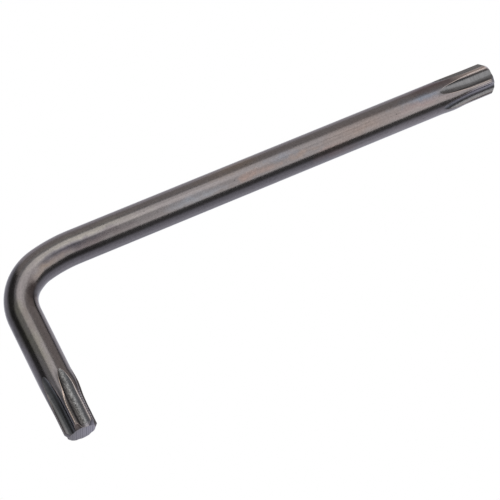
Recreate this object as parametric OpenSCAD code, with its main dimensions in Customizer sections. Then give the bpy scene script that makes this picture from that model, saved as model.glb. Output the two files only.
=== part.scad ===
// Star key: one round steel bar bent to an L, with six flutes cut into each end to leave a star.
// The key lies flat. The long arm runs along +X, the short arm along -Y, and the bar rests on z = 0.
// The origin is the middle of the rectangle that the key covers, on the surface it lies on.
// Each sub-part is one stretch of the bar, and neighbouring stretches meet face to face.

/* [Bar] */
// Diameter of the round bar, which the lobes of the star start from
bar_d = 5; // [4.4:0.1:6]
// Overall length along the long arm, from the outside of the bend to the end face
long_len = 80.8; // [60:0.1:160]
// Overall length along the short arm, from the outside of the bend to the end face
short_len = 28.5; // [24:0.1:80]

/* [Bend] */
// Centreline radius of the tight bend beside the short arm
bend_r = 6.8; // [4:0.1:10]
// Centreline radius of the easy bend between the tight bend and the long arm
ease_r = 22; // [12:0.5:40]
// Angle turned by the easy bend, out of the right angle between the arms
ease_angle = 14.5; // [4:0.5:30]

/* [Star] */
// Number of lobes, and of the flutes between them
lobes = 6; // [6]
// Diameter across the floors of two opposite flutes
star_across = 3.58; // [3.2:0.02:3.8]
// Radius on the shoulders of a lobe
lobe_r = 0.4; // [0.3:0.02:0.5]
// Width of the strip of bar surface left along the crest of a lobe, where the lobe starts
crest_w = 0.26; // [0.1:0.02:0.4]
// How much nearer to the axis a crest is at the end bevel than where the lobe starts
taper = 0.04; // [0.02:0.01:0.1]
// Length of the flutes at full depth, measured from the end face
flute_len = 3.05; // [2:0.05:6]
// Radius of the cutter that the flutes run out on
cutter_r = 25; // [10:0.5:40]
// Plain round length between the start of the flutes and the arm
collar_len = 0.4; // [0.3:0.1:2]
// Turn of the long arm's star, from a flute facing straight up towards the inside of the bend
long_turn = 11; // [-30:1:30]
// Turn of the short arm's star, from a flute facing straight up towards the inside of the bend
short_turn = 15; // [-30:1:30]

/* [End bevel] */
// Length of the bevel along the arm
bevel_len = 0.6; // [0.2:0.05:1]
// Depth of the bevel, from the crests in to the end face
bevel_in = 0.56; // [0.2:0.02:0.64]

/* [Hidden] */
$fn = 96;
steel = "#5f5a5e";
ground_steel = "#6d6a6c";
bar_r = bar_d / 2;

// Where the axes of the two arms cross
corner = [bar_r - long_len / 2, short_len / 2 - bar_r, bar_r];

// Lengths of arm that the bend takes up, measured from the corner
bend_long = bend_r + (ease_r - bend_r) * sin(ease_angle);
bend_short = ease_r - (ease_r - bend_r) * cos(ease_angle);

// Centres of the two arcs of the bend, measured from the corner
ease_centre = [bend_long, -ease_r, 0];
tight_centre = [bend_r, -bend_short, 0];

// Star section: a lobe's shoulder circle meets the bar at the edge of the crest strip,
// and the flute's circle is the one that touches both shoulders and the floor diameter.
half_pitch = 180 / lobes;
floor_r = star_across / 2;
lobe_c = sqrt(pow(bar_r, 2) - pow(crest_w / 2, 2)) - sqrt(pow(lobe_r, 2) - pow(crest_w / 2, 2));
flute_r = (pow(lobe_c, 2) + pow(floor_r, 2) - 2 * lobe_c * floor_r * cos(half_pitch) - pow(lobe_r, 2))
    / (2 * (lobe_r + lobe_c * cos(half_pitch) - floor_r));
flute_c = floor_r + flute_r;

// The flute's cut leaves a shoulder circle half way between the crest strip's edge and the crest line
leave_angle = asin(crest_w / 2 / lobe_r) / 2;
// The cut reaches this far out from the bar's axis
cut_r = bar_r + lobe_r;
// A shoulder laps this far into the flute's circle, so that the two cross instead of only touching
shoulder_lap = 0.002;

// Run-out: the cutter's axis, the angle it turns before it leaves the bar, and the length that takes
cutter_c = floor_r + cutter_r;
runout_angle = acos((cutter_c - bar_r) / cutter_r);
runout_len = cutter_r * sin(runout_angle);
// The cut is carried past the surfaces that it leaves by these amounts
past_angle = 4;
past_len = 1;

tip_len = collar_len + runout_len + flute_len;
long_tip_at = long_len - bar_r - tip_len;
short_tip_at = short_len - bar_r - tip_len;

function polar(r, angle) = [r * cos(angle), r * sin(angle)];

// Places a shape built along +Z on the long arm's axis, at a distance from the corner
module on_long_arm(at) {
    translate(corner + [at, 0, 0]) rotate([0, 90, 0]) children();
}

// Places a shape built along +Z on the short arm's axis, at a distance from the corner
module on_short_arm(at) {
    translate(corner - [0, at, 0]) rotate([90, 0, 0]) children();
}

// Section of one flute with the shoulders beside it: the flute lies along +X of the star's centre
module flute_section() {
    shoulder = polar(lobe_c, half_pitch);
    outer = shoulder + polar(2 * flute_c, half_pitch - leave_angle);
    intersection() {
        translate([0, -cut_r]) square([cut_r, 2 * cut_r]);
        difference() {
            union() {
                translate([flute_c, 0]) circle(flute_r);
                polygon([[flute_c, 0], shoulder, outer, [outer.x, -outer.y], [shoulder.x, -shoulder.y]]);
            }
            for (side = [-1, 1]) {
                translate(polar(lobe_c, side * half_pitch)) circle(lobe_r + shoulder_lap);
            }
        }
    }
}

// One flute: straight to the end face, and curving out of the bar on the cutter's radius
module flute() {
    translate([0, 0, tip_len - flute_len]) {
        linear_extrude(flute_len + past_len) flute_section();
        translate([cutter_c, 0, 0]) rotate([90, 0, 0]) rotate([0, 0, 180])
            rotate_extrude(angle = runout_angle + past_angle)
                translate([cutter_c, 0]) rotate(180) flute_section();
    }
}

// The bar's end with its taper and bevel, and the flutes cut into it
module star_tip() {
    difference() {
        rotate_extrude() {
            polygon([
                [0, 0],
                [bar_r, 0],
                [bar_r, collar_len],
                [bar_r - taper, tip_len - bevel_len],
                [bar_r - taper - bevel_in, tip_len],
                [0, tip_len]
            ]);
        }
        for (i = [0 : lobes - 1]) {
            rotate([0, 0, i * 2 * half_pitch]) flute();
        }
    }
}

// One arc of the bend, from an angle about its centre
module bend_arc(centre, radius, from_angle, turn) {
    translate(corner + centre) rotate([0, 0, from_angle])
        rotate_extrude(angle = turn) translate([radius, 0]) circle(bar_r);
}

module long_tip() {
    color(ground_steel) on_long_arm(long_tip_at) rotate([0, 0, long_turn]) star_tip();
}

module long_arm() {
    color(steel) on_long_arm(bend_long) cylinder(h = long_tip_at - bend_long, r = bar_r);
}

module easy_bend() {
    color(steel) bend_arc(ease_centre, ease_r, 90, ease_angle);
}

module tight_bend() {
    color(steel) bend_arc(tight_centre, bend_r, 90 + ease_angle, 90 - ease_angle);
}

module short_arm() {
    color(steel) on_short_arm(bend_short) cylinder(h = short_tip_at - bend_short, r = bar_r);
}

module short_tip() {
    color(ground_steel) on_short_arm(short_tip_at) rotate([0, 0, 90 - short_turn]) star_tip();
}

long_tip();
long_arm();
easy_bend();
tight_bend();
short_arm();
short_tip();
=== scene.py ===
# %% [markdown]
# # A star key
# The object is a star key: one round bar of blackened steel, bent to an L, with a six-lobed star cut
# into each end. The CAD model is loaded first and stays as a fixed frame, in metres. Each stretch of
# the bar is then worked out again as a fine surface in the same place, so that it can carry its finish.

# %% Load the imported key
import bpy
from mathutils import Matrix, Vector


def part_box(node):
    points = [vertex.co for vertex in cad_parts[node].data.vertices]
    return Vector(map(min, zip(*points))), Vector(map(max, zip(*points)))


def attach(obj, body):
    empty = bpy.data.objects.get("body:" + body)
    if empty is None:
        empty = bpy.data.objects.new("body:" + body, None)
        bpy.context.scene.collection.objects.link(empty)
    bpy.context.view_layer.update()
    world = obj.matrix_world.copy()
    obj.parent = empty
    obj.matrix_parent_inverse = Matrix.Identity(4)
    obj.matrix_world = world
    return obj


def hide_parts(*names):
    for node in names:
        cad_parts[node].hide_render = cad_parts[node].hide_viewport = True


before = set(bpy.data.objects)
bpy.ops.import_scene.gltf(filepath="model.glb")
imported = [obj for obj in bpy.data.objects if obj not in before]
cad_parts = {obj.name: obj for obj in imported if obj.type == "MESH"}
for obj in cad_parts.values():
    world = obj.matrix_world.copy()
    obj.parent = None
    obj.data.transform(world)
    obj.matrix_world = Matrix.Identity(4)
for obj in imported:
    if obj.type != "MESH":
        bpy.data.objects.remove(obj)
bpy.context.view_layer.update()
print("CAD nodes:", sorted(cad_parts))

# %% [markdown]
# ## The camera
# The photograph looks steeply down on the key, from the side where the short arm ends. Its place could be
# set by eye, but a small error shows at once on two long straight arms. So it was worked out from the
# outlines of both arms. The lens is long, because the sides of each arm stay almost parallel.

# %% Camera
import math
import bpy
import numpy as np
from mathutils import Quaternion, Vector

MM = 0.001


def towards(azimuth, elevation):
    """The unit vector at an azimuth from +X and an elevation above the floor, both in degrees."""
    around = math.radians(azimuth)
    above = math.radians(elevation)
    level = math.cos(above)
    return Vector((level * math.cos(around), level * math.sin(around), math.sin(above)))


aim_point = Vector((-5.01, 0.89, 2.5)) * MM
camera_side = towards(-124.291, 62.838)
camera_distance = 278.56 * MM
camera_roll = math.radians(8.441)

# Blender gives a lens and its sensor in millimetres, as on a real camera.
lens = bpy.data.cameras.new("photo_camera")
lens.lens = 141.75
lens.sensor_width = 36
lens.clip_start = 10 * MM
camera = bpy.data.objects.new("photo_camera", lens)
camera.location = aim_point + camera_distance * camera_side
camera.rotation_mode = "QUATERNION"
camera.rotation_quaternion = (-camera_side).to_track_quat("-Z", "Y") @ Quaternion((0, 0, 1), camera_roll)
bpy.context.scene.collection.objects.link(camera)
bpy.context.scene.camera = camera
print("camera at (mm):", [round(v / MM, 1) for v in camera.location])

# %% [markdown]
# ## The line of the bar
# A bent bar is simplest as a straight one that follows a line. The line has one measure: the distance
# along the bar. It is zero where the long arm meets the bend, grows along the long arm, and falls round
# the bend and down the short arm. Every finish that runs along the bar can use that same measure, so
# that grain and tints pass from one stretch to the next with no seam.

# %% Sizes of the bar
# The key's own lengths are in millimetres from here on. The bend's two arcs repeat the CAD model's sizes.
ease_r = 22.0
ease_turn = math.radians(14.5)
bend_r = 6.8
tight_turn = math.pi / 2 - ease_turn


def box_mm(node):
    """A CAD node's lowest and highest corners, in millimetres."""
    low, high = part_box(node)
    return np.array(low) / MM, np.array(high) / MM


long_low, long_high = box_mm("long_arm")
short_low, short_high = box_mm("short_arm")
bar_r = round(float(long_high[2] - long_low[2]) / 2, 3)
bend_start = np.array([long_low[0], (long_low[1] + long_high[1]) / 2, bar_r])
long_len = float(long_high[0] - long_low[0])
ease_len = ease_r * ease_turn
tight_len = bend_r * tight_turn
short_at = -(ease_len + tight_len)
short_len = float(short_high[1] - short_low[1])
print("bar radius", bar_r, "arms", round(long_len, 3), round(short_len, 3), "bend", round(-short_at, 3))

# %% The line itself


def out_of_bend(turn):
    """The level unit vector that points out of the bend, after the bar has turned by an angle."""
    return np.stack([-np.sin(turn), np.cos(turn), np.zeros_like(turn)], axis=-1)


def bar_line(along):
    """The bar's axis at a distance along it, and the direction out of the bend there.
    On an arc, the axis moves by the arc's radius times the change of that direction."""
    back = np.maximum(-along, 0)
    eased = np.minimum(back, ease_len) / ease_r
    turned = eased + np.clip(back - ease_len, 0, tight_len) / bend_r
    straight = np.maximum(along, 0)[..., None] * np.array([1.0, 0.0, 0.0])
    down = np.maximum(back - ease_len - tight_len, 0)[..., None] * np.array([0.0, -1.0, 0.0])
    start, middle, end = out_of_bend(np.zeros_like(eased)), out_of_bend(eased), out_of_bend(turned)
    axis = bend_start + straight + ease_r * (middle - start) + bend_r * (end - middle) + down
    return axis, end


short_end = bar_line(np.array([short_at - short_len]))[0][0]
print("the line ends at", short_end.round(3), "and the CAD arm at y", round(float(short_low[1]), 3))

# %% [markdown]
# ## From rings to a closed mesh
# A stretch of bar is a grid: one direction runs along the bar and the other runs round it. The points are
# worked out as whole arrays, and foreach_set puts them into the mesh at once. Each end is closed with a
# fan of triangles, so that every stretch is a closed shell with its faces pointing outwards.

# %% Points on the bar


def on_bar(along, angle, radius):
    """Points at a radius and an angle about the bar's axis: 0 points out of the bend, a quarter turn up.
    The point is the axis plus radius x (cos(angle) x out of bend + sin(angle) x up)."""
    axis, out = bar_line(along)
    up = np.array([0.0, 0.0, 1.0])
    spoke = np.cos(angle)[..., None] * out + np.sin(angle)[..., None] * up
    return axis + radius[..., None] * spoke


def straightened(along, angle, radius):
    """Where a point would lie if the bar were straight: distance along, out of the bend, and up, in mm."""
    return np.stack([along, radius * np.cos(angle), radius * np.sin(angle)], axis=-1)


bar_top = on_bar(np.array([0.0]), np.array([np.pi / 2]), np.array([bar_r]))[0]
print("top of the bar where the bend starts (mm):", bar_top.round(3))

# %% Faces of a grid


def grid_faces(rings, places):
    """The corners of a grid's faces as one list, and the number of corners of each face.
    Quads join neighbouring rings. Fans of triangles close both ends, each about one of the two points
    whose numbers follow those of the grid."""
    index = np.arange(rings * places).reshape(rings, places)
    after = np.roll(index, -1, axis=1)
    quads = np.stack([index[:-1], after[:-1], after[1:], index[1:]], axis=-1).reshape(-1, 4)
    start_fan = np.stack([np.full(places, rings * places), after[0], index[0]], axis=-1)
    end_fan = np.stack([np.full(places, rings * places + 1), index[-1], after[-1]], axis=-1)
    corners = np.concatenate([quads.ravel(), start_fan.ravel(), end_fan.ravel()])
    sizes = np.concatenate([np.full(len(quads), 4), np.full(2 * places, 3)])
    return corners, sizes


print("2 rings of 4 places make", len(grid_faces(2, 4)[1]), "faces")

# %% Closed shells


def with_ends(grid):
    """A grid's values as one list, followed by the means of its first and last rings."""
    flat = grid.reshape(-1, grid.shape[-1])
    return np.vstack([flat, grid[0].mean(0), grid[-1].mean(0)])


def keep_sharp(mesh, rings, places, creases):
    """Marks the edges that run round the rings listed in creases as sharp: both points lie on that ring."""
    pairs = np.empty(2 * len(mesh.edges), dtype=np.int32)
    mesh.edges.foreach_get("vertices", pairs)
    pairs = pairs.reshape(-1, 2)
    ring_of = pairs // places
    sharp = (ring_of[:, 0] == ring_of[:, 1]) & np.isin(ring_of[:, 0], creases)
    sharp &= pairs.max(1) < rings * places
    mesh.attributes.new("sharp_edge", "BOOLEAN", "EDGE").data.foreach_set("value", sharp)


def store_marks(mesh, marks):
    """Stores each grid of vectors or of numbers as an attribute of the mesh's points."""
    for mark, grid in marks.items():
        if grid.ndim == 3:
            attribute = mesh.attributes.new(mark, "FLOAT_VECTOR", "POINT")
            attribute.data.foreach_set("vector", with_ends(grid).ravel())
        else:
            attribute = mesh.attributes.new(mark, "FLOAT", "POINT")
            attribute.data.foreach_set("value", with_ends(grid[..., None]).ravel())


def shell(name, points, creases, marks):
    """A closed mesh object from points[ring, place, xyz] in mm, with rings in order along the bar.
    The rings listed in creases stay sharp, and the grids in marks become attributes."""
    rings, places = points.shape[:2]
    corners, sizes = grid_faces(rings, places)
    mesh = bpy.data.meshes.new(name)
    mesh.vertices.add(rings * places + 2)
    mesh.vertices.foreach_set("co", (with_ends(points) * MM).ravel())
    mesh.loops.add(len(corners))
    mesh.loops.foreach_set("vertex_index", corners)
    mesh.polygons.add(len(sizes))
    mesh.polygons.foreach_set("loop_start", np.cumsum(sizes) - sizes)
    mesh.polygons.foreach_set("use_smooth", np.ones(len(sizes), dtype=bool))
    mesh.update(calc_edges=True)
    keep_sharp(mesh, rings, places, creases)
    store_marks(mesh, marks)
    piece = bpy.data.objects.new(name, mesh)
    bpy.context.scene.collection.objects.link(piece)
    print(name, "has", len(mesh.vertices), "points and", int((sizes - 2).sum()), "triangles")
    return piece


# %% [markdown]
# ## The plain round stretches
# Four stretches are plain round bar: the long arm, the two arcs of the bend, and the short arm. Each one
# is a circle carried along the line. A cylinder and two torus pieces would do as well, but one circle on
# one line makes sure that neighbours meet ring to ring, with the same points round the bar. The bending
# tool pressed the inside of the tight arc a little flat, so the circle gives way there.

# %% Round stretches
PLACES = 256
press_depth = 0.15
press_at = -11.0
press_reach = 3.8


def swelling(distance, reach):
    """A smooth hump of height 1: the square of a cosine, which falls to zero at its reach."""
    return np.cos(np.clip(distance / reach, -1, 1) * np.pi / 2) ** 2


def round_stretch(name, start, end, rings):
    """Round bar between two distances along the line: a circle of the bar's radius, carried along it.
    Inside the tight arc the radius loses up to press_depth, in a hump along the bar and one round it."""
    along, angle = np.meshgrid(
        np.linspace(start, end, rings),
        np.linspace(0, 2 * np.pi, PLACES, endpoint=False),
        indexing="ij",
    )
    pressed = swelling(along - press_at, press_reach) * swelling(angle - np.pi, np.pi / 2)
    radius = bar_r - press_depth * pressed
    marks = {"bar_mm": straightened(along, angle, radius)}
    piece = shell(name, on_bar(along, angle, radius), [0, rings - 1], marks)
    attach(piece, "root")
    return piece


# The rings are closest where the bar turns, and above all where it was pressed in.
arcs_meet = -ease_len
long_bar = round_stretch("bar_long", 0.0, long_len, rings=60)
easy_arc = round_stretch("bar_easy_arc", arcs_meet, 0.0, rings=48)
tight_arc = round_stretch("bar_tight_arc", short_at, arcs_meet, rings=160)
short_bar = round_stretch("bar_short", short_at - short_len, short_at, rings=12)
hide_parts("long_arm")
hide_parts("easy_bend")
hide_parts("tight_bend")
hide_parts("short_arm")

# %% [markdown]
# ## The shape of the star tips
# Each end of the bar has six flutes cut by a small form cutter. The cutter leaves a hollow between two
# rounded lobes, and a curved run-out where it left the bar. A boolean with six cutters would give the
# shape too, but with poor faces along its edges. Here the radius is a function of two parameters, the
# angle round the bar and the distance to the end. Lines of the grid run along the edges of the flutes,
# so that each edge is clean. Where the cutter left the bar, it also pushed up a low swelling.

# %% Sizes of the star
# These repeat the CAD model's sizes. A place's depth is its distance from the arm, towards the end face.
LOBES = 6
star_across = 3.58
lobe_r = 0.4
crest_w = 0.26
taper = 0.04
flute_len = 3.05
cutter_r = 25.0
collar_len = 0.4
bevel_len = 0.6
bevel_in = 0.56

half_pitch = math.pi / LOBES
floor_r = star_across / 2
lobe_c = math.sqrt(bar_r ** 2 - (crest_w / 2) ** 2) - math.sqrt(lobe_r ** 2 - (crest_w / 2) ** 2)
lobe_out = lobe_c * math.cos(half_pitch)
lobe_side = lobe_c * math.sin(half_pitch)
flute_r = (lobe_c ** 2 + floor_r ** 2 - 2 * lobe_out * floor_r - lobe_r ** 2)
flute_r = flute_r / (2 * (lobe_r + lobe_out - floor_r))
flute_c = floor_r + flute_r
touch_side = lobe_side * flute_r / (flute_r + lobe_r)
cutter_c = floor_r + cutter_r
runout_len = math.sqrt(cutter_r ** 2 - (cutter_c - bar_r) ** 2)
full_depth_at = collar_len + runout_len
tip_len = full_depth_at + flute_len
bevel_at = tip_len - bevel_len
print("tip length", round(tip_len, 3), "flute radius", round(flute_r, 3), "run-out", round(runout_len, 3))

# %% One flute


def off_flute(angle):
    """The angle from the middle of the nearest flute."""
    return np.remainder(angle + half_pitch, 2 * half_pitch) - half_pitch


def short_of_depth(depth):
    """How far a place lies before the one where the cutter reaches its full depth."""
    return np.maximum(full_depth_at - depth, 0)


def flute_surface(side, short):
    """How far out from the axis a flute's surface lies, at a distance to the side of the flute's middle.
    In section it is a hollow circle up to where that touches a lobe's shoulder, and then the shoulder's
    circle. Short of full depth, each point of that section swings about the cutter's axis:
    out = cutter_c - sqrt((cutter_c - section)^2 - short^2)."""
    side = np.abs(side)
    hollow = flute_c - np.sqrt(np.maximum(flute_r ** 2 - side ** 2, 0))
    shoulder = lobe_out + np.sqrt(np.maximum(lobe_r ** 2 - (side - lobe_side) ** 2, 0))
    section = np.where(side < touch_side, hollow, shoulder)
    return cutter_c - np.sqrt((cutter_c - section) ** 2 - short ** 2)


print("a flute's floor lies", flute_surface(np.array([0.0]), 0.0).round(3)[0], "mm from the axis")

# %% From the blank to the star
HALVINGS = 40


def blank_radius(depth):
    """Radius of the turned end before it is fluted: plain collar, slight taper, then the end bevel."""
    stations = [0, collar_len, bevel_at, tip_len]
    return np.interp(depth, stations, [bar_r, bar_r, bar_r - taper, bar_r - taper - bevel_in])


def meeting(low, high, is_short):
    """Where is_short stops being true between two bounds: the gap between them is halved many times."""
    for _ in range(HALVINGS):
        middle = (low + high) / 2
        short = is_short(middle)
        low = np.where(short, middle, low)
        high = np.where(short, high, middle)
    return low


def star_radius(depth, angle, blank):
    """Radius of the star at a depth and an angle from the middle of a flute.
    A ray from the axis goes out to the point where it meets the flute or the blank."""
    turned = off_flute(angle)
    short = short_of_depth(depth)

    def uncut(radius):
        return radius * np.cos(turned) <= flute_surface(radius * np.sin(turned), short)

    return meeting(np.zeros_like(blank), blank, uncut)


by_bevel = np.full(2, bevel_at)
floor_and_crest = star_radius(by_bevel, np.array([0.0, half_pitch]), blank_radius(by_bevel))
print("radius on a flute's floor and on a crest, by the bevel:", floor_and_crest.round(3))

# %% The swelling of the blank
swell_at = 2.4
swell_reach = 2.4


def swollen_blank(swell, swell_angle):
    """A function for the radius of a blank by depth and angle. Where the flutes start, the blank swells by
    up to swell on the side that faces swell_angle, in degrees: a hump along the bar times one round it."""
    def blank_at(depth, angle):
        off_swell = np.remainder(angle - math.radians(swell_angle) + np.pi, 2 * np.pi) - np.pi
        hump = swelling(depth - swell_at, swell_reach) * swelling(off_swell, np.pi / 2)
        return blank_radius(depth) + swell * hump

    return blank_at


plain_there = blank_radius(np.array([swell_at]))
print("blank where it may swell:", plain_there.round(3)[0], "mm in radius before it does")

# %% Lines of the grid
FLUTE_PLACES = 20
CREST_PLACES = 14
LEAST_EDGE = math.radians(3)
collar_gap = 0.02

# Most rings are where the flutes run out. The face's rings are shares of its outline.
collar_rings = np.linspace(0, collar_len - collar_gap, num=4)
runout_rings = np.linspace(collar_len, full_depth_at, num=90)
depth_rings = np.linspace(full_depth_at, bevel_at, num=28)[1:]
bevel_rings = np.linspace(bevel_at, tip_len, num=32)[1:]
side_depths = np.concatenate([collar_rings, runout_rings, depth_rings, bevel_rings])
face_shares = np.linspace(0.985, 0.01, num=36)
RIM = len(side_depths) - 1


def flute_edge(depth, middle, side, blank_at):
    """The angle from a flute's middle to its edge on one side (-1 or 1), where the flute meets the blank.
    Before the flute starts it is LEAST_EDGE."""
    short = short_of_depth(depth)

    def still_cut(off):
        blank = blank_at(depth, middle + side * off)
        return blank * np.cos(off) > flute_surface(blank * np.sin(off), short)

    edge = meeting(np.zeros_like(depth), np.full_like(depth, half_pitch), still_cut)
    return np.maximum(edge, LEAST_EDGE)


def tip_angles(middles, blank_at):
    """The angles of a tip's places, ring by ring. In each pitch of the star, lines of places run along the
    middle of the crest, the flute's edge, its middle and its other edge. Between them places are even."""
    depth, middle = np.meshgrid(side_depths, middles, indexing="ij")
    left, right = [flute_edge(depth, middle, side, blank_at) for side in (-1, 1)]
    crest = np.full_like(left, half_pitch)
    lines = [-crest, -left, np.zeros_like(left), right, crest]
    counts = [CREST_PLACES, FLUTE_PLACES, FLUTE_PLACES, CREST_PLACES]
    spans = [np.linspace(a, b, n, endpoint=False, axis=-1) for a, b, n in zip(lines, lines[1:], counts)]
    return (middle[..., None] + np.concatenate(spans, axis=-1)).reshape(len(side_depths), -1)


print("rings of a tip:", len(side_depths), "on its side and", len(face_shares), "on its end face")

# %% [markdown]
# ## Marks of cutting, sawing and use
# The cutter left the flutes dull, and on the short star it tore one floor and chattered on two ridges.
# The saw left lines on the end faces, and use has rubbed the oxide off the sharpest edges. Such marks could
# be painted as an image, but they follow the shape. So they are worked out on the same grid as shares from
# 0 to 1, and stored with the mesh as attributes, which the finish reads later. Chatter dents and saw lines
# also lower the surface a little.

# %% What the cutter left
least_cut = 0.005
cut_fade = 0.02
hollow_past = 0.06
hollow_fade = 0.16
torn_side = 0.72
torn_fade = 0.6


def limited(value):
    """A value held between 0 and 1."""
    return np.clip(value, 0, 1)


def cut_shares(radius, blank, from_flute, coarse):
    """What was cut, where the hollow of a flute is, and where its floor is torn, each from 0 to 1.
    A point is cut where it lies under the blank. It is in the hollow until just past where that touches
    a shoulder. Only the upper flute of a coarse star is torn, along its middle, and the finish also lays
    painted glints there."""
    side = np.abs(radius * np.sin(off_flute(from_flute)))
    cut = limited((blank - radius - least_cut) / cut_fade)
    flute = cut * limited((touch_side + hollow_past - side) / hollow_fade)
    upper = limited(2 * np.cos(from_flute) - 1)
    torn_and_glints = coarse * flute * upper * limited((torn_side - side) / torn_fade)
    return cut, flute, torn_and_glints


print("the hollow touches a shoulder", round(touch_side, 3), "mm beside a flute's middle")

# %% Chatter and worn lines on two ridges
chatter_pitch = 0.38
chatter_depth = 0.012
ridge_reach = 0.16
ridge_from = 3.4
ridge_fade = 1.2
end_fade = 0.3
line_reach = 0.04
line_from = 3.2
line_fade = 0.4
slide_end = 5.6
slide_len = 2.2


def ridge_shares(depth, from_flute):
    """The angle beyond the middle of the two ridges beside the upper flute, the share of those ridges, and
    the share of their chatter dents. A ridge's share fades out to its sides and to both ends. The dents are
    a wave of the depth, times that share."""
    beside = np.abs(np.remainder(from_flute + np.pi, 2 * np.pi) - np.pi) - half_pitch
    ridge = limited(1 - np.abs(beside) / ridge_reach) * limited((depth - ridge_from) / ridge_fade)
    ridge *= limited((bevel_at - depth) / end_fade)
    dents = ridge * (0.5 - 0.5 * np.cos(depth * 2 * np.pi / chatter_pitch))
    return beside, ridge, dents


def worn_lines(depth, beside, left, first_flute, blank_at):
    """The share of a thin worn line on each of those ridges. On the right ridge it follows the edge of the
    flute. On the left one it slides from the flute's edge to the middle of the crest."""
    middle = np.full_like(side_depths, first_flute)
    left_rim, right_rim = [flute_edge(side_depths, middle, s, blank_at) - half_pitch for s in (-1, 1)]
    left_rim = left_rim * limited((slide_end - side_depths) / slide_len)
    line_at = np.where(left, left_rim[:, None], right_rim[:, None])
    on_line = limited(1 - np.abs(beside - line_at) / line_reach) * limited((depth - line_from) / line_fade)
    return on_line * limited((bevel_at - depth) / end_fade)


print("chatter dents", chatter_pitch, "mm apart and", chatter_depth, "mm deep")

# %% Saw lines
saw_pitch = 0.3
saw_depth = 0.010
second_pitch = 1.62 * saw_pitch
second_height = 0.6
second_start = 1.0
rim_fade = 0.05


def saw_lines(across, share):
    """The share of a saw line by the distance across the lines: two waves of different pitch, of which only
    the tops count. The lines fade out at the rim of the face, where share is 1."""
    waves = np.cos(across * 2 * np.pi / saw_pitch)
    waves = waves + second_height * np.cos(across * 2 * np.pi / second_pitch + second_start)
    return limited(waves) * limited((1 - share) / rim_fade)


print("saw lines", saw_pitch, "and", round(second_pitch, 3), "mm apart,", saw_depth, "mm deep")

# %% Worn edges
NEVER_ZERO = 1e-9
edge_from = 2.8
edge_span = 4.0
crest_gain = 4
rub = 0.9
wear_growth = 4.2
bevel_fade = 0.05
wear_depths = [collar_len, collar_len + wear_growth, bevel_at - bevel_fade, bevel_at]
wear_shares = [0.1, 1.0, 1.0, 0.15]


def outward_bend(points):
    """How sharply a grid bends outwards, in 1/mm: the change of its normal over the distance of its points.
    It is 0.4 on the plain bar, 2.5 on a lobe's shoulder, negative in a flute, and highest on an edge."""
    def apart(grid, axis):
        if axis == 1:
            return np.roll(grid, -1, 1) - np.roll(grid, 1, 1)
        padded = np.concatenate([grid[:1], grid, grid[-1:]])
        return padded[2:] - padded[:-2]

    normal = np.cross(apart(points, 1), apart(points, 0))
    normal /= np.maximum(np.linalg.norm(normal, axis=-1, keepdims=True), NEVER_ZERO)
    bends = []
    for axis in (0, 1):
        step = apart(points, axis)
        bends.append((apart(normal, axis) * step).sum(-1) / np.maximum((step ** 2).sum(-1), NEVER_ZERO))
    return np.maximum(*bends)


def worn_off(points, depth, coarse, crest, on_line, rubbed):
    """The share of oxide that is worn off. Edges sharper than a shoulder are worn, and twice as much on a
    coarse star. The left ridge has its line instead. The ribs between the dents of the right ridge are
    rubbed too. All of it is weak by the collar and on the bevel."""
    edge = limited((outward_bend(points) - edge_from) / edge_span) * (0.5 + 0.5 * coarse)
    edge = np.maximum(edge * (1 - limited(crest_gain * crest)), on_line)
    return np.maximum(edge, rub * rubbed) * np.interp(depth, wear_depths, wear_shares)


print("edges that bend by more than", edge_from, "per mm are worn")

# %% [markdown]
# ## The two tips
# Both tips come from one function, because they were cut in the same way. They differ in where their
# flutes face, in how the saw ran, and in how coarsely they were cut. The end face could be one flat
# polygon, but then it could not carry its saw lines. So it is the tip's outline, drawn in to its middle.

# %% One tip


def side_and_face(side, face, heading):
    """A grid of the side followed by one of the end face, with its rings in order along the bar."""
    return np.concatenate([side, face])[::heading]


def star_tip(name, start, heading, turn, saw_angle, coarse, swell, swell_angle):
    """A fluted end of the bar, from a distance along the line, heading up (+1) or down (-1) that distance.
    The side is the star's radius by depth and angle, less the chatter dents of a coarse star. The end face
    is the same outline drawn in to its middle, with its saw lines cut in.
    The marks say what was cut (cut), where the hollow of a flute is (flute), how roughly it was cut and
    where the painted glints lie (torn_and_glints), where an edge is worn (edge), and where a saw line is
    (saw)."""
    first_flute = math.radians(90 + turn)
    blank_at = swollen_blank(swell, swell_angle)
    angle = tip_angles(first_flute + 2 * half_pitch * np.arange(LOBES), blank_at)
    depth = np.repeat(side_depths[:, None], angle.shape[1], axis=1)
    from_flute = angle - first_flute
    left = np.sin(from_flute) < 0
    blank = blank_at(depth, angle)
    radius = star_radius(depth, from_flute, blank)
    cut, flute, torn_and_glints = cut_shares(radius, blank, from_flute, coarse)
    beside, ridge, dents = ridge_shares(depth, from_flute)
    radius = radius - coarse * chatter_depth * dents
    rubbed = coarse * (ridge - dents) * ~left
    crest = coarse * ridge * left
    on_line = coarse * worn_lines(depth, beside, left, first_flute, blank_at)

    share, face_angle = np.meshgrid(face_shares, angle[-1], indexing="ij")
    face_radius = share * radius[-1]
    line = saw_lines(face_radius * np.cos(face_angle - math.radians(saw_angle)), share)
    bare = np.zeros_like(share)
    cut, flute, torn_and_glints, rubbed, crest, on_line = [
        side_and_face(grid, bare, heading) for grid in (cut, flute, torn_and_glints, rubbed, crest, on_line)
    ]
    saw = side_and_face(np.zeros_like(radius), line, heading)
    angle = side_and_face(angle, face_angle, heading)
    radius = side_and_face(radius, face_radius, heading)
    depth = side_and_face(depth, tip_len - saw_depth * line, heading)
    along = start + heading * depth
    points = on_bar(along, angle, radius)
    marks = {
        "bar_mm": straightened(along, angle, radius),
        "cut": cut,
        "flute": flute,
        "torn_and_glints": torn_and_glints,
        "edge": worn_off(points, depth, coarse, crest, on_line, rubbed),
        "saw": saw,
    }
    creases = [0, RIM] if heading > 0 else [len(along) - 1, len(along) - 1 - RIM]
    piece = shell(name, points, creases, marks)
    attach(piece, "root")
    return piece


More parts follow.
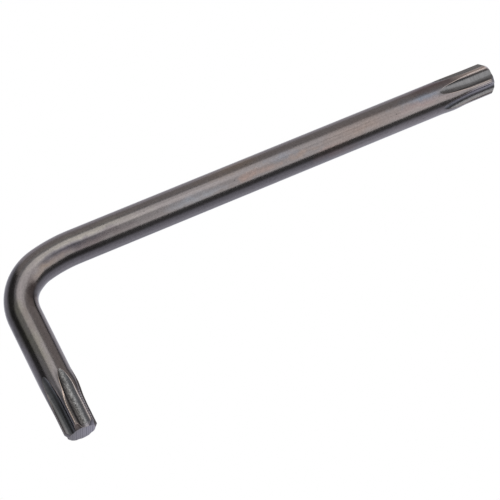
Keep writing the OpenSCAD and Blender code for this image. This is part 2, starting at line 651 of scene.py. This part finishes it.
# %% Both tips
# turn is how far the upper flute leans from straight up towards the inside of the bend, and saw_angle is
# the direction across the saw lines, both in degrees. swell is a height in millimetres.
long_star = star_tip(
    "star_long", long_len, heading=1, turn=11, saw_angle=90, coarse=0.0, swell=0.1, swell_angle=203,
)
short_star = star_tip(
    "star_short", short_at - short_len, heading=-1, turn=15, saw_angle=0, coarse=1.0,
    swell=0.2, swell_angle=165,
)
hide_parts("long_tip")
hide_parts("short_tip")

# %% [markdown]
# ## The finish
# The key is alloy steel with a black oxide: a thin dark layer that still mirrors its surroundings softly.
# It could be a dark glossy paint, but paint has a white shine over a flat colour. A dark metal tints what
# it mirrors and brightens towards its rims, as the photograph shows.

# %% Helpers for materials
# A Mix node has sockets for each kind of value. These are the places of those for colours and for numbers.
FACTOR = 0
COLOUR_A, COLOUR_B, MIXED_COLOUR = 6, 7, 2
NUMBER_A, NUMBER_B, MIXED_NUMBER = 2, 3, 0


def linear(hex_colour):
    """An sRGB hex colour as linear red, green, blue and alpha."""
    parts = [int(hex_colour[i:i + 2], 16) / 255 for i in (1, 3, 5)]
    return [p / 12.92 if p <= 0.04045 else ((p + 0.055) / 1.055) ** 2.4 for p in parts] + [1.0]


def add(tree, kind, sockets, **settings):
    """Adds a node with its settings. A socket is given a value, or is linked to another node's output."""
    node = tree.nodes.new(kind)
    for name, value in settings.items():
        setattr(node, name, value)
    for name, value in sockets.items():
        if isinstance(value, bpy.types.NodeSocket):
            tree.links.new(value, node.inputs[name])
        else:
            node.inputs[name].default_value = value
    return node


print("a middle grey of #808080 is", round(linear("#808080")[0], 3), "in linear light")

# %% [markdown]
# ## Black oxide on drawn bar
# The bar was drawn through a die, hardened, and blackened in a hot bath. Three things show on it. The oxide
# is a fine sandy skin, so its mirror image is soft and a little grainy. The die left faint lines along the
# bar. Hardening left heat tints: soft patches of blue, tan and lavender where the oxide is thinner. Some
# patches are painted shade and painted reflection instead. They darken the inside of the bend, its dark
# band and the short arm, and lighten the long arm's front lip where it mirrors the floor. Grain, lines and
# patches all use the straightened measure of the bar, so they follow it round the bend.

# %% Grain, lines and pits
# To the eye, black oxide on drawn steel is a dark metal whose mirror image is soft and a little grainy.
oxide = bpy.data.materials.new("black_oxide_drawn_steel")
oxide.use_nodes = True
tree = oxide.node_tree
tree.nodes.clear()

# The true grain is about 0.05 mm, under a third of a pixel here. It is drawn at 0.28 mm so that it shows.
GRAIN = 0.28
LINE_WIDTH = 0.22
LINE_LENGTH = 14.0
# A few pits lie this far apart. Each is darkest out to one distance from its middle, and ends at another.
PIT_PITCH = 1.7
PIT_DARK = 0.051
PIT_END = 0.119

place = add(tree, "ShaderNodeAttribute", {}, attribute_name="bar_mm", name="place")
bar_at = place.outputs["Vector"]
grain = add(tree, "ShaderNodeTexNoise", {
    "Vector": bar_at, "Scale": 1 / GRAIN, "Detail": 3.0, "Roughness": 0.6,
})
along_lines = add(tree, "ShaderNodeMapping", {
    "Vector": bar_at,
    "Scale": [1 / LINE_LENGTH, 1 / LINE_WIDTH, 1 / LINE_WIDTH],
})
lines = add(tree, "ShaderNodeTexNoise", {
    "Vector": along_lines.outputs["Vector"], "Scale": 1.0, "Detail": 2.0,
})
pits = add(tree, "ShaderNodeTexVoronoi", {"Vector": bar_at, "Scale": 1 / PIT_PITCH})
print("bar grain (mm):", GRAIN, "die lines (mm):", LINE_WIDTH, "by", LINE_LENGTH, "pits (mm):", PIT_PITCH)

# %% Light and dark of the grain
# Nearly all of a noise lies between these two values.
noise_span = {"From Min": 0.3, "From Max": 0.7}
grain_shade = add(tree, "ShaderNodeMapRange", {
    "Value": grain.outputs["Fac"], **noise_span, "To Min": 0.86, "To Max": 1.14,
})
line_shade = add(tree, "ShaderNodeMapRange", {
    "Value": lines.outputs["Fac"], **noise_span, "To Min": 0.93, "To Max": 1.07,
})
pit_shade = add(tree, "ShaderNodeMapRange", {
    "Value": pits.outputs["Distance"],
    "From Min": PIT_DARK / PIT_PITCH, "From Max": PIT_END / PIT_PITCH,
    "To Min": 0.45, "To Max": 1.0,
})
fine_shade = add(tree, "ShaderNodeMath", {
    0: grain_shade.outputs["Result"], 1: line_shade.outputs["Result"],
}, operation="MULTIPLY")
bar_shade = add(tree, "ShaderNodeMath", {
    0: fine_shade.outputs["Value"], 1: pit_shade.outputs["Result"],
}, operation="MULTIPLY")
print("nodes for grain, lines and pits:", len(tree.nodes))

# %% Heat tints, painted shade and painted reflection
# Each row is a name, a colour, the distance along the bar (mm), the angle about it (degrees, 90 is up),
# and the patch's half length and half width (mm).
bar_black = "#625f61"
bar_tints_and_painted_light = [
    ("blue_by_the_long_star", "#5c616c", 56.4, 97, 6.4, 1.1),
    ("pink_by_the_long_star", "#6a6061", 55.0, 118, 6.0, 0.9),
    ("tan_on_the_long_arm", "#675f5d", 45.0, 108, 9.0, 1.6),
    ("blue_grey_patch", "#5c5f67", 32.4, 97, 2.6, 0.9),
    ("orange_streak", "#726460", 28.0, 119, 3.6, 0.7),
    ("tan_streak", "#6d6360", 34.5, 117, 3.6, 0.6),
    ("blue_grey_streak", "#696c73", 18.5, 119, 6.0, 0.9),
    ("pale_stretch", "#72706d", 1.0, 90, 11.5, 1.3),
    ("lavender_streak", "#403f4a", -1.0, 110, 9.0, 0.9),
    ("pink_streak", "#5c5658", 2.0, 119, 8.0, 0.8),
    ("lavender_by_the_bend", "#3f3e43", -3.4, 105, 3.0, 0.5),
    ("brown_in_the_bend", "#605853", -6.0, 122, 5.0, 0.95),
    # Painted shade: the inside of the bend is darker, where it mirrors the key's own shadow.
    ("painted_shade_inside_the_bend", "#484241", -11.2, 134, 3.4, 1.3),
    # Painted shade: deepens the dark band that the bar mirrors below the softbox, near the bend.
    ("painted_shade_on_the_dark_band", "#4a4849", 1.0, 140, 9.0, 0.8),
    ("brown_lip", "#6c5f5d", 41.0, 150, 4.0, 1.3),
    # Painted reflection: the front lip of the long arm is paler, where it mirrors the white floor.
    ("painted_reflection_on_the_lip", "#736f70", 53.0, 164, 16.0, 2.2),
    ("dark_brown_by_the_long_star", "#50474a", 58.0, 56, 7.0, 1.6),
    ("brown_on_the_back", "#68605b", 25.0, 60, 6.0, 1.6),
    ("olive_on_the_short_arm", "#605f57", -17.0, 60, 6.0, 1.6),
    # Painted shade: dims the edge of the highlight on the short arm.
    ("painted_shade_on_the_short_arm", "#565251", -16.0, 91, 3.8, 0.8),
    ("beige_on_the_short_arm", "#5e5c58", -20.8, 80, 4.6, 1.0),
    # Painted shade: the outer rim of the short arm is darker, where it mirrors its own shadow on the floor.
    ("painted_shade_outside_the_short_arm", "#434143", -17.2, 20, 4.4, 1.7),
]


def tinted(tree, at, colour, tints):
    """A colour with soft patches laid over it. Each patch fades out evenly from its middle to its rim."""
    for name, tint, along, angle, length, width in tints:
        patch = add(tree, "ShaderNodeMapping", {
            "Vector": at,
            "Location": straightened(along, math.radians(angle), bar_r),
            "Scale": [length, width, width],
        }, vector_type="TEXTURE", name=name)
        fade = add(tree, "ShaderNodeTexGradient", {
            "Vector": patch.outputs["Vector"],
        }, gradient_type="SPHERICAL")
        laid = add(tree, "ShaderNodeMix", {
            FACTOR: fade.outputs["Fac"], COLOUR_A: colour, COLOUR_B: linear(tint),
        }, data_type="RGBA")
        colour = laid.outputs[MIXED_COLOUR]
    print("tints:", [row[0] for row in tints])
    return colour


print("patches of tint for the bar:", len(bar_tints_and_painted_light))

# %% Tints, painted shade and painted reflection on the bar
# A coarse noise moves the rims of the patches by up to about these distances, so that none is an oval.
DRIFT = 2.2
DRIFT_BY = [2.6, 0.5, 0.5]
drift = add(tree, "ShaderNodeTexNoise", {
    "Vector": bar_at, "Scale": 1 / DRIFT, "Detail": 3.0,
}, normalize=False)
wobbled = add(tree, "ShaderNodeVectorMath", {
    0: drift.outputs["Color"], 1: DRIFT_BY, 2: bar_at,
}, operation="MULTIPLY_ADD")
toned = add(tree, "ShaderNodeVectorMath", {
    0: tinted(tree, wobbled.outputs["Vector"], linear(bar_black), bar_tints_and_painted_light),
    "Scale": bar_shade.outputs["Value"],
}, operation="SCALE", name="toned")

# %% The bar's shader
# Satin black oxide is usually 0.3 to 0.4 rough. The crisp bands of light on this bar ask for about 0.2.
BUMP_HEIGHT = 0.0004
LINE_HEIGHT = 0.5
bar_rough = add(tree, "ShaderNodeMapRange", {
    "Value": grain.outputs["Fac"], **noise_span, "To Min": 0.18, "To Max": 0.22,
}, name="rough")
height = add(tree, "ShaderNodeMath", {
    0: lines.outputs["Fac"], 1: LINE_HEIGHT, 2: grain.outputs["Fac"],
}, operation="MULTIPLY_ADD", name="height")
grain_bump = add(tree, "ShaderNodeBump", {
    "Height": height.outputs["Value"], "Strength": 1.0, "Distance": BUMP_HEIGHT * MM,
}, name="bump")
steel = add(tree, "ShaderNodeBsdfPrincipled", {
    "Base Color": toned.outputs["Vector"],
    "Metallic": 1.0,
    "Roughness": bar_rough.outputs["Result"],
    "Specular Tint": [0.75, 0.75, 0.75, 1.0],
    "Normal": grain_bump.outputs["Normal"],
}, name="steel")
add(tree, "ShaderNodeOutputMaterial", {"Surface": steel.outputs["BSDF"]})
for piece in (long_bar, easy_arc, tight_arc, short_bar):
    piece.data.materials.append(oxide)
print(oxide.name, "has", len(tree.nodes), "nodes")

# %% [markdown]
# ## Black oxide on the milled stars
# The stars have the same oxide, so their finish starts as a copy of the bar's. The cutter left the flutes
# duller than the bar, a plainer grey, and marked across their length. The upper flute of the short star was
# torn and is mottled, and its mottle is lifted into painted glints. Use has worn the oxide off the edges
# and the chattered ridges, where brown steel shows. The saw lines on the end faces hold darker oxide.
# Patches of painted shade, painted highlight and painted reflection darken or light up parts of both stars.

# %% Cutter marks and mottle
# To the eye, black oxide on milled steel is a duller grey, with marks across each flute and bright edges.
milled = oxide.copy()
milled.name = "black_oxide_milled_steel"
tree = milled.node_tree
bar_at = tree.nodes["place"].outputs["Vector"]
marks = {}
for mark in ("cut", "flute", "torn_and_glints", "edge", "saw"):
    marks[mark] = add(tree, "ShaderNodeAttribute", {}, attribute_name=mark).outputs["Fac"]

# The cutter's marks are about 0.1 mm apart. They are drawn 0.28 mm apart so that they show.
MARK_PITCH = 0.28
MARK_LENGTH = 2.5
MOTTLE = 0.24
across_flute = add(tree, "ShaderNodeMapping", {
    "Vector": bar_at,
    "Scale": [1 / MARK_PITCH, 1 / MARK_LENGTH, 1 / MARK_LENGTH],
})
cutter_marks = add(tree, "ShaderNodeTexNoise", {
    "Vector": across_flute.outputs["Vector"], "Scale": 1.0, "Detail": 1.0,
})
mottle = add(tree, "ShaderNodeTexNoise", {
    "Vector": bar_at, "Scale": 1 / MOTTLE, "Detail": 3.0, "Roughness": 0.7,
})
print("cutter marks (mm):", MARK_PITCH, "mottle (mm):", MOTTLE)

# %% Tints, painted shade and painted highlights of the stars
# The first list shows only where the cutter was, and the last one only where the oxide is worn off. The
# first list is all painted light.
cut_painted_light = [
    # Painted light: the lower flank of the long star is paler, as if lit where the lobe beside it shades
    # it.
    ("painted_light_on_the_long_flank", "#a5a0a6", 65.6, 150, 6.4, 1.2),
    # Painted highlight: a bright line along a shoulder of the long star.
    ("painted_highlight_on_the_long_shoulder", "#ccc7cd", 67.0, 136.5, 6.0, 0.3),
]
star_tints_and_painted_light = [
    ("worn_ridge_of_the_long_star", "#a59a97", 66.2, 69, 5.2, 0.85),
    ("pale_back_flute_of_the_long_star", "#6c6d6f", 66.5, 41, 6.0, 1.8),
    # Painted highlight: a pale line along a ridge of the long star.
    ("painted_highlight_on_the_long_ridge", "#9c9598", 66.5, 134.4, 3.8, 0.26),
    ("dark_streak_in_the_long_flute", "#3a3b3c", 60.8, 107, 3.2, 0.5),
    ("dark_side_of_the_long_ridge", "#3f4041", 66.9, 121, 3.2, 0.42),
    ("dark_ridge_of_the_short_star", "#3b3a38", -30.4, 77, 4.2, 0.55),
    # Painted shade: a dark line on the left of a ridge, over the highlight it mirrors.
    ("painted_shade_beside_the_short_ridge", "#262627", -30.4, 70.2, 4.2, 0.24),
    # Painted highlight: a pale line along a shoulder of the short star.
    ("painted_highlight_on_the_short_shoulder", "#8f8c96", -30.5, 64, 5.0, 0.4),
    # Painted shade: the left flute of the short star is darker than the walls it mirrors.
    ("painted_shade_in_the_left_short_flute", "#3c3e3f", -29.5, 34, 6.0, 2.0),
    # Painted shadow: black on the left wall of the upper flute, where it starts.
    ("painted_shadow_at_the_short_flute_start", "#262727", -26.3, 91, 2.4, 0.5),
    ("dark_side_of_the_short_star", "#3a3b3d", -29.5, 182, 4.6, 1.2),
    # Painted light: one side of the short end is paler, and the other is left in shade.
    ("painted_light_on_the_short_end", "#86838d", -33.3, 180, 0.9, 4.0),
    # Painted reflection: a pale sheen on the bevel of the short star.
    ("painted_sheen_on_the_short_bevel", "#9a8c8a", -33.0, 75, 0.6, 0.8),
]
wear_tints = [("grey_wear_of_the_short_ridge", "#b6b4b6", -29.5, 132, 11.0, 1.0)]
print("tints of the stars:", len(cut_painted_light) + len(star_tints_and_painted_light) + len(wear_tints))

# %% Colours of the flutes
smooth_grey = "#5d5e61"
# Painted glints: on the torn floor the mottle lifts the grey up to 2.7 times, in bright specks.
torn_and_glinting_grey = "#505152"
mark_shade = add(tree, "ShaderNodeMapRange", {
    "Value": cutter_marks.outputs["Fac"], **noise_span, "To Min": 0.88, "To Max": 1.12,
})
mottle_and_glint_shade = add(tree, "ShaderNodeMapRange", {
    "Value": mottle.outputs["Fac"], "From Min": 0.42, "From Max": 0.66, "To Min": 0.75, "To Max": 2.7,
})
smooth_cut = add(tree, "ShaderNodeVectorMath", {
    0: linear(smooth_grey)[:3], "Scale": mark_shade.outputs["Result"],
}, operation="SCALE")
torn_cut_and_glints = add(tree, "ShaderNodeVectorMath", {
    0: linear(torn_and_glinting_grey)[:3], "Scale": mottle_and_glint_shade.outputs["Result"],
}, operation="SCALE")
cut_colour = add(tree, "ShaderNodeMix", {
    FACTOR: marks["torn_and_glints"], COLOUR_A: smooth_cut.outputs["Vector"], COLOUR_B: torn_cut_and_glints.outputs["Vector"],
}, data_type="RGBA")
blackened = add(tree, "ShaderNodeMix", {
    FACTOR: marks["flute"],
    COLOUR_A: tree.nodes["toned"].outputs["Vector"],
    COLOUR_B: cut_colour.outputs[MIXED_COLOUR],
}, data_type="RGBA").outputs[MIXED_COLOUR]
shouldered = add(tree, "ShaderNodeMix", {
    FACTOR: marks["cut"], COLOUR_A: blackened, COLOUR_B: tinted(tree, bar_at, blackened, cut_painted_light),
}, data_type="RGBA").outputs[MIXED_COLOUR]

# %% Colours of worn edges and saw lines
# Wear is broken up a little by the mottle, and saw lines are only partly dark.
worn_steel = "#c0b0a6"
saw_line_black = "#3d3b44"
SAW_STRENGTH = 0.6
worn_share = add(tree, "ShaderNodeMapRange", {
    "Value": mottle.outputs["Fac"], "From Min": 0.35, "From Max": 0.6, "To Min": 0.65, "To Max": 1.0,
})
worn = add(tree, "ShaderNodeMath", {
    0: marks["edge"], 1: worn_share.outputs["Result"],
}, operation="MULTIPLY")
edged = add(tree, "ShaderNodeMix", {
    FACTOR: worn.outputs["Value"],
    COLOUR_A: tinted(tree, bar_at, shouldered, star_tints_and_painted_light),
    COLOUR_B: tinted(tree, bar_at, linear(worn_steel), wear_tints),
}, data_type="RGBA")
sawn = add(tree, "ShaderNodeMath", {0: marks["saw"], 1: SAW_STRENGTH}, operation="MULTIPLY")
star_colour = add(tree, "ShaderNodeMix", {
    FACTOR: sawn.outputs["Value"],
    COLOUR_A: edged.outputs[MIXED_COLOUR],
    COLOUR_B: linear(saw_line_black),
}, data_type="RGBA")

# %% The stars' shader
# Milled faces scatter more than the drawn skin, and the torn floor a little more again than a smooth one.
SHOULDER_ROUGH = 0.38
RIPPLE_HEIGHT = 0.8
TEAR_HEIGHT = 7.0
cut_rough = add(tree, "ShaderNodeMapRange", {
    "Value": marks["torn_and_glints"], "From Min": 0.0, "From Max": 1.0, "To Min": 0.28, "To Max": 0.36,
})
shoulder_rough = add(tree, "ShaderNodeMix", {
    FACTOR: marks["cut"], NUMBER_A: tree.nodes["rough"].outputs["Result"], NUMBER_B: SHOULDER_ROUGH,
}, data_type="FLOAT")
star_rough = add(tree, "ShaderNodeMix", {
    FACTOR: marks["flute"],
    NUMBER_A: shoulder_rough.outputs[MIXED_NUMBER],
    NUMBER_B: cut_rough.outputs["Result"],
}, data_type="FLOAT")
ripple = add(tree, "ShaderNodeMath", {
    0: cutter_marks.outputs["Fac"], 1: marks["flute"],
}, operation="MULTIPLY")
tear = add(tree, "ShaderNodeMath", {0: mottle.outputs["Fac"], 1: marks["torn_and_glints"]}, operation="MULTIPLY")
rippled = add(tree, "ShaderNodeMath", {
    0: ripple.outputs["Value"], 1: RIPPLE_HEIGHT, 2: tree.nodes["height"].outputs["Value"],
}, operation="MULTIPLY_ADD")
star_height = add(tree, "ShaderNodeMath", {
    0: tear.outputs["Value"], 1: TEAR_HEIGHT, 2: rippled.outputs["Value"],
}, operation="MULTIPLY_ADD")
steel = tree.nodes["steel"]
tree.links.new(star_colour.outputs[MIXED_COLOUR], steel.inputs["Base Color"])
tree.links.new(star_rough.outputs[MIXED_NUMBER], steel.inputs["Roughness"])
tree.links.new(star_height.outputs["Value"], tree.nodes["bump"].inputs["Height"])
for piece in (long_star, short_star):
    piece.data.materials.append(milled)
print(milled.name, "has", len(tree.nodes), "nodes")

# %% [markdown]
# ## The floor
# The photograph has a plain white ground with no shadow on it. A lit floor would show one, so this floor
# only glows, and only the camera sees it. What the underside of the bar mirrors is a lit sheet below the
# floor. It is brightest in a ring round the key and dimmer further out, as paper is under a lamp.

# %% Floor
FLOOR = 12.0


def glow(name, colour, strength):
    """A material that only gives off light."""
    material = bpy.data.materials.new(name)
    material.use_nodes = True
    nodes = material.node_tree
    nodes.nodes.clear()
    lamp = add(nodes, "ShaderNodeEmission", {"Color": linear(colour), "Strength": strength})
    add(nodes, "ShaderNodeOutputMaterial", {"Surface": lamp.outputs["Emission"]})
    return material


def panel(name, corners, material):
    """A flat panel of the studio from its corners in metres. It isn't part of the object."""
    mesh = bpy.data.meshes.new(name)
    mesh.from_pydata(corners, [], [range(len(corners))])
    mesh.materials.append(material)
    board = bpy.data.objects.new(name, mesh)
    bpy.context.scene.collection.objects.link(board)
    return board


def square(half, height):
    """The corners of a level square about the origin."""
    return [(-half, -half, height), (half, -half, height), (half, half, height), (-half, half, height)]


floor = panel("floor", square(FLOOR, 0), glow("white_floor", "#ffffff", 1.0))
floor.visible_glossy = False
floor.visible_diffuse = False
floor.visible_shadow = False
print("floor:", 2 * FLOOR, "m wide")

# %% The lit sheet
# The levels run from the rim of the sheet's light (0) to its middle (1).
SHEET_DEPTH = 0.6
SHEET_REACH = 9 * SHEET_DEPTH
# Painted shadow: the dip to 0.92 at the middle is the key's own shadow, laid into the glow.
SHEET_LEVELS = [(0.0, 0.45), (0.52, 0.82), (0.83, 1.08), (0.925, 1.5), (0.97, 1.15), (1.0, 0.92)]
sheet_light = glow("lit_sheet", "#f3f4ff", 1.0)
nodes = sheet_light.node_tree
spot = add(nodes, "ShaderNodeTexCoord", {})
reach = add(nodes, "ShaderNodeMapping", {"Vector": spot.outputs["Object"], "Scale": [1 / SHEET_REACH] * 3})
fade = add(nodes, "ShaderNodeTexGradient", {"Vector": reach.outputs["Vector"]}, gradient_type="SPHERICAL")
level = add(nodes, "ShaderNodeValToRGB", {"Fac": fade.outputs["Fac"]})
stops = level.color_ramp.elements
while len(stops) < len(SHEET_LEVELS):
    stops.new(0.5)
for stop, (position, strength) in zip(stops, SHEET_LEVELS):
    stop.position = position
    stop.color = (strength, strength, strength, 1)
nodes.links.new(level.outputs["Color"], nodes.nodes["Emission"].inputs["Strength"])
sheet = panel("lit_sheet", square(FLOOR, 0), sheet_light)
sheet.location.z = -SHEET_DEPTH
sheet.visible_camera = False
print("lit sheet:", SHEET_DEPTH, "m below the key, with", len(stops), "levels")

# %% [markdown]
# ## The light overhead
# Each side of a round bar faces another way, so the bands along it show what the studio was like. The wide
# bright band is a softbox, and its ragged edges come from the softbox's outline. An area lamp would give
# one straight band. So each light is a flat panel with an outline of its own, and its surface glows.

# %% Light panels overhead
# Each row is a name, a colour, a strength, a height (m), and an outline. The outline is in shares of the
# height, so a panel keeps its place on the bar's mirror image when its height changes.
overhead = [
    ("softbox", "#fffbf6", 2.42, 2.0, [
        (0.2, -1.5), (0.38, -1.52), (0.52, -1.62), (0.67, -1.77), (0.735, -1.95), (0.83, -1.86),
        (0.95, -1.78), (2.0, -1.72), (2.7, -1.75), (2.8, -1.35), (2.0, -0.88), (1.45, -0.5), (0.98, -0.12),
        (0.64, 0.18), (0.43, 0.41), (0.42, 0.52), (0.365, 0.63), (0.335, 0.72), (0.31, 0.78),
        (-0.36, 0.78), (-0.33, 0.36), (0.1, 0.02), (0.23, -0.1), (0.23, -0.9), (0.2, -1.0),
    ]),
    ("softbox_rim", "#fffbf6", 1.45, 2.05, [
        (2.0, -1.2), (2.9, -1.25), (2.05, -0.74), (1.5, -0.4), (1.06, -0.02), (0.7, 0.25), (0.46, 0.56),
        (0.345, 0.81), (-0.4, 0.83), (-0.42, 0.5), (0.1, 0.02), (0.5, -0.5),
    ]),
    ("softbox_middle", "#fffbf6", 3.1, 1.95, [
        (0.1, 0.02), (0.28, -0.02), (0.28, 0.34), (0.0, 0.34), (0.0, 0.15),
    ]),
    ("softbox_seam", "#fffbf6", 1.9, 1.9, [
        (0.3, -0.06), (0.6, -0.08), (0.85, -0.1), (0.85, -0.02), (0.62, 0.1), (0.3, 0.05),
    ]),
    ("grey_ceiling", "#ffffff", 0.76, 2.1, [
        (-1.4, -1.6), (0.4, -1.6), (0.4, 0.3), (0.34, 1.2), (-0.3, 1.3), (-0.6, 1.15), (-0.75, 0.88),
        (-1.4, 0.95),
    ]),
]
for name, colour, strength, height, outline in overhead:
    corners = [(height * x, height * y, height) for x, y in outline]
    panel(name, corners, glow(name + "_light", colour, strength)).visible_camera = False
print("overhead:", [row[0] for row in overhead])

# %% [markdown]
# ## The walls
# Between the softbox and the floor, the bar mirrors the walls of the studio, and towards its rims two
# paper sweeps beside it, which reach below its level. A picture of a studio all round would do this too,
# but a few plain patches are easier to read and to change.

# %% Walls and sweeps
# Each row is a name, a colour, a strength, a distance (m), and its azimuths and elevations (degrees).
walls = [
    ("back_wall", "#fff7f0", 0.88, 8.0, (50, 108), (0, 58)),
    ("back_sweep", "#fffaff", 1.28, 0.9, (55, 103), (-35, 1)),
    ("right_sweep", "#fffaff", 1.55, 0.9, (10, 38), (-44, -17)),
    ("right_back_wall", "#fff4ec", 0.85, 8.0, (12, 50), (0, 50)),
    ("right_wall", "#fff4f0", 0.5, 8.0, (-30, 12), (0, 45)),
    ("front_wall", "#ffffff", 0.2, 8.0, (-95, -30), (0, 30)),
    ("corner_wall", "#ffffff", 0.1, 8.0, (108, 165), (0, 45)),
    ("left_wall", "#ffffff", 0.4, 8.0, (165, 265), (0, 50)),
]
for name, colour, strength, distance, sides, heights in walls:
    corners = []
    for side, height in ((0, 0), (1, 0), (1, 1), (0, 1)):
        corners.append(distance * towards(sides[side], heights[height]))
    panel(name, corners, glow(name + "_light", colour, strength)).visible_camera = False
print("walls:", [row[0] for row in walls])

# %% [markdown]
# ## The room
# Whatever the panels leave open is the world. It could be one colour, but the key needs a grey room to
# mirror, while the photograph's ground is white up to its borders. A Light Path node tells the two apart.

# %% The room
MIRRORED_GREY = [0.3, 0.3, 0.3, 1]
SEEN_WHITE = [1, 1, 1, 1]
world = bpy.data.worlds.new("studio")
bpy.context.scene.world = world
world.use_nodes = True
room = world.node_tree
room.nodes.clear()
ray = add(room, "ShaderNodeLightPath", {})
shade = add(room, "ShaderNodeMix", {
    FACTOR: ray.outputs["Is Camera Ray"], COLOUR_A: MIRRORED_GREY, COLOUR_B: SEEN_WHITE,
}, data_type="RGBA")
sky = add(room, "ShaderNodeBackground", {"Color": shade.outputs[MIXED_COLOUR], "Strength": 1.0})
add(room, "ShaderNodeOutputWorld", {"Surface": sky.outputs["Background"]})
bpy.context.scene.view_settings.view_transform = "Standard"
print("the key mirrors a grey of", MIRRORED_GREY[0], "where no panel stands")
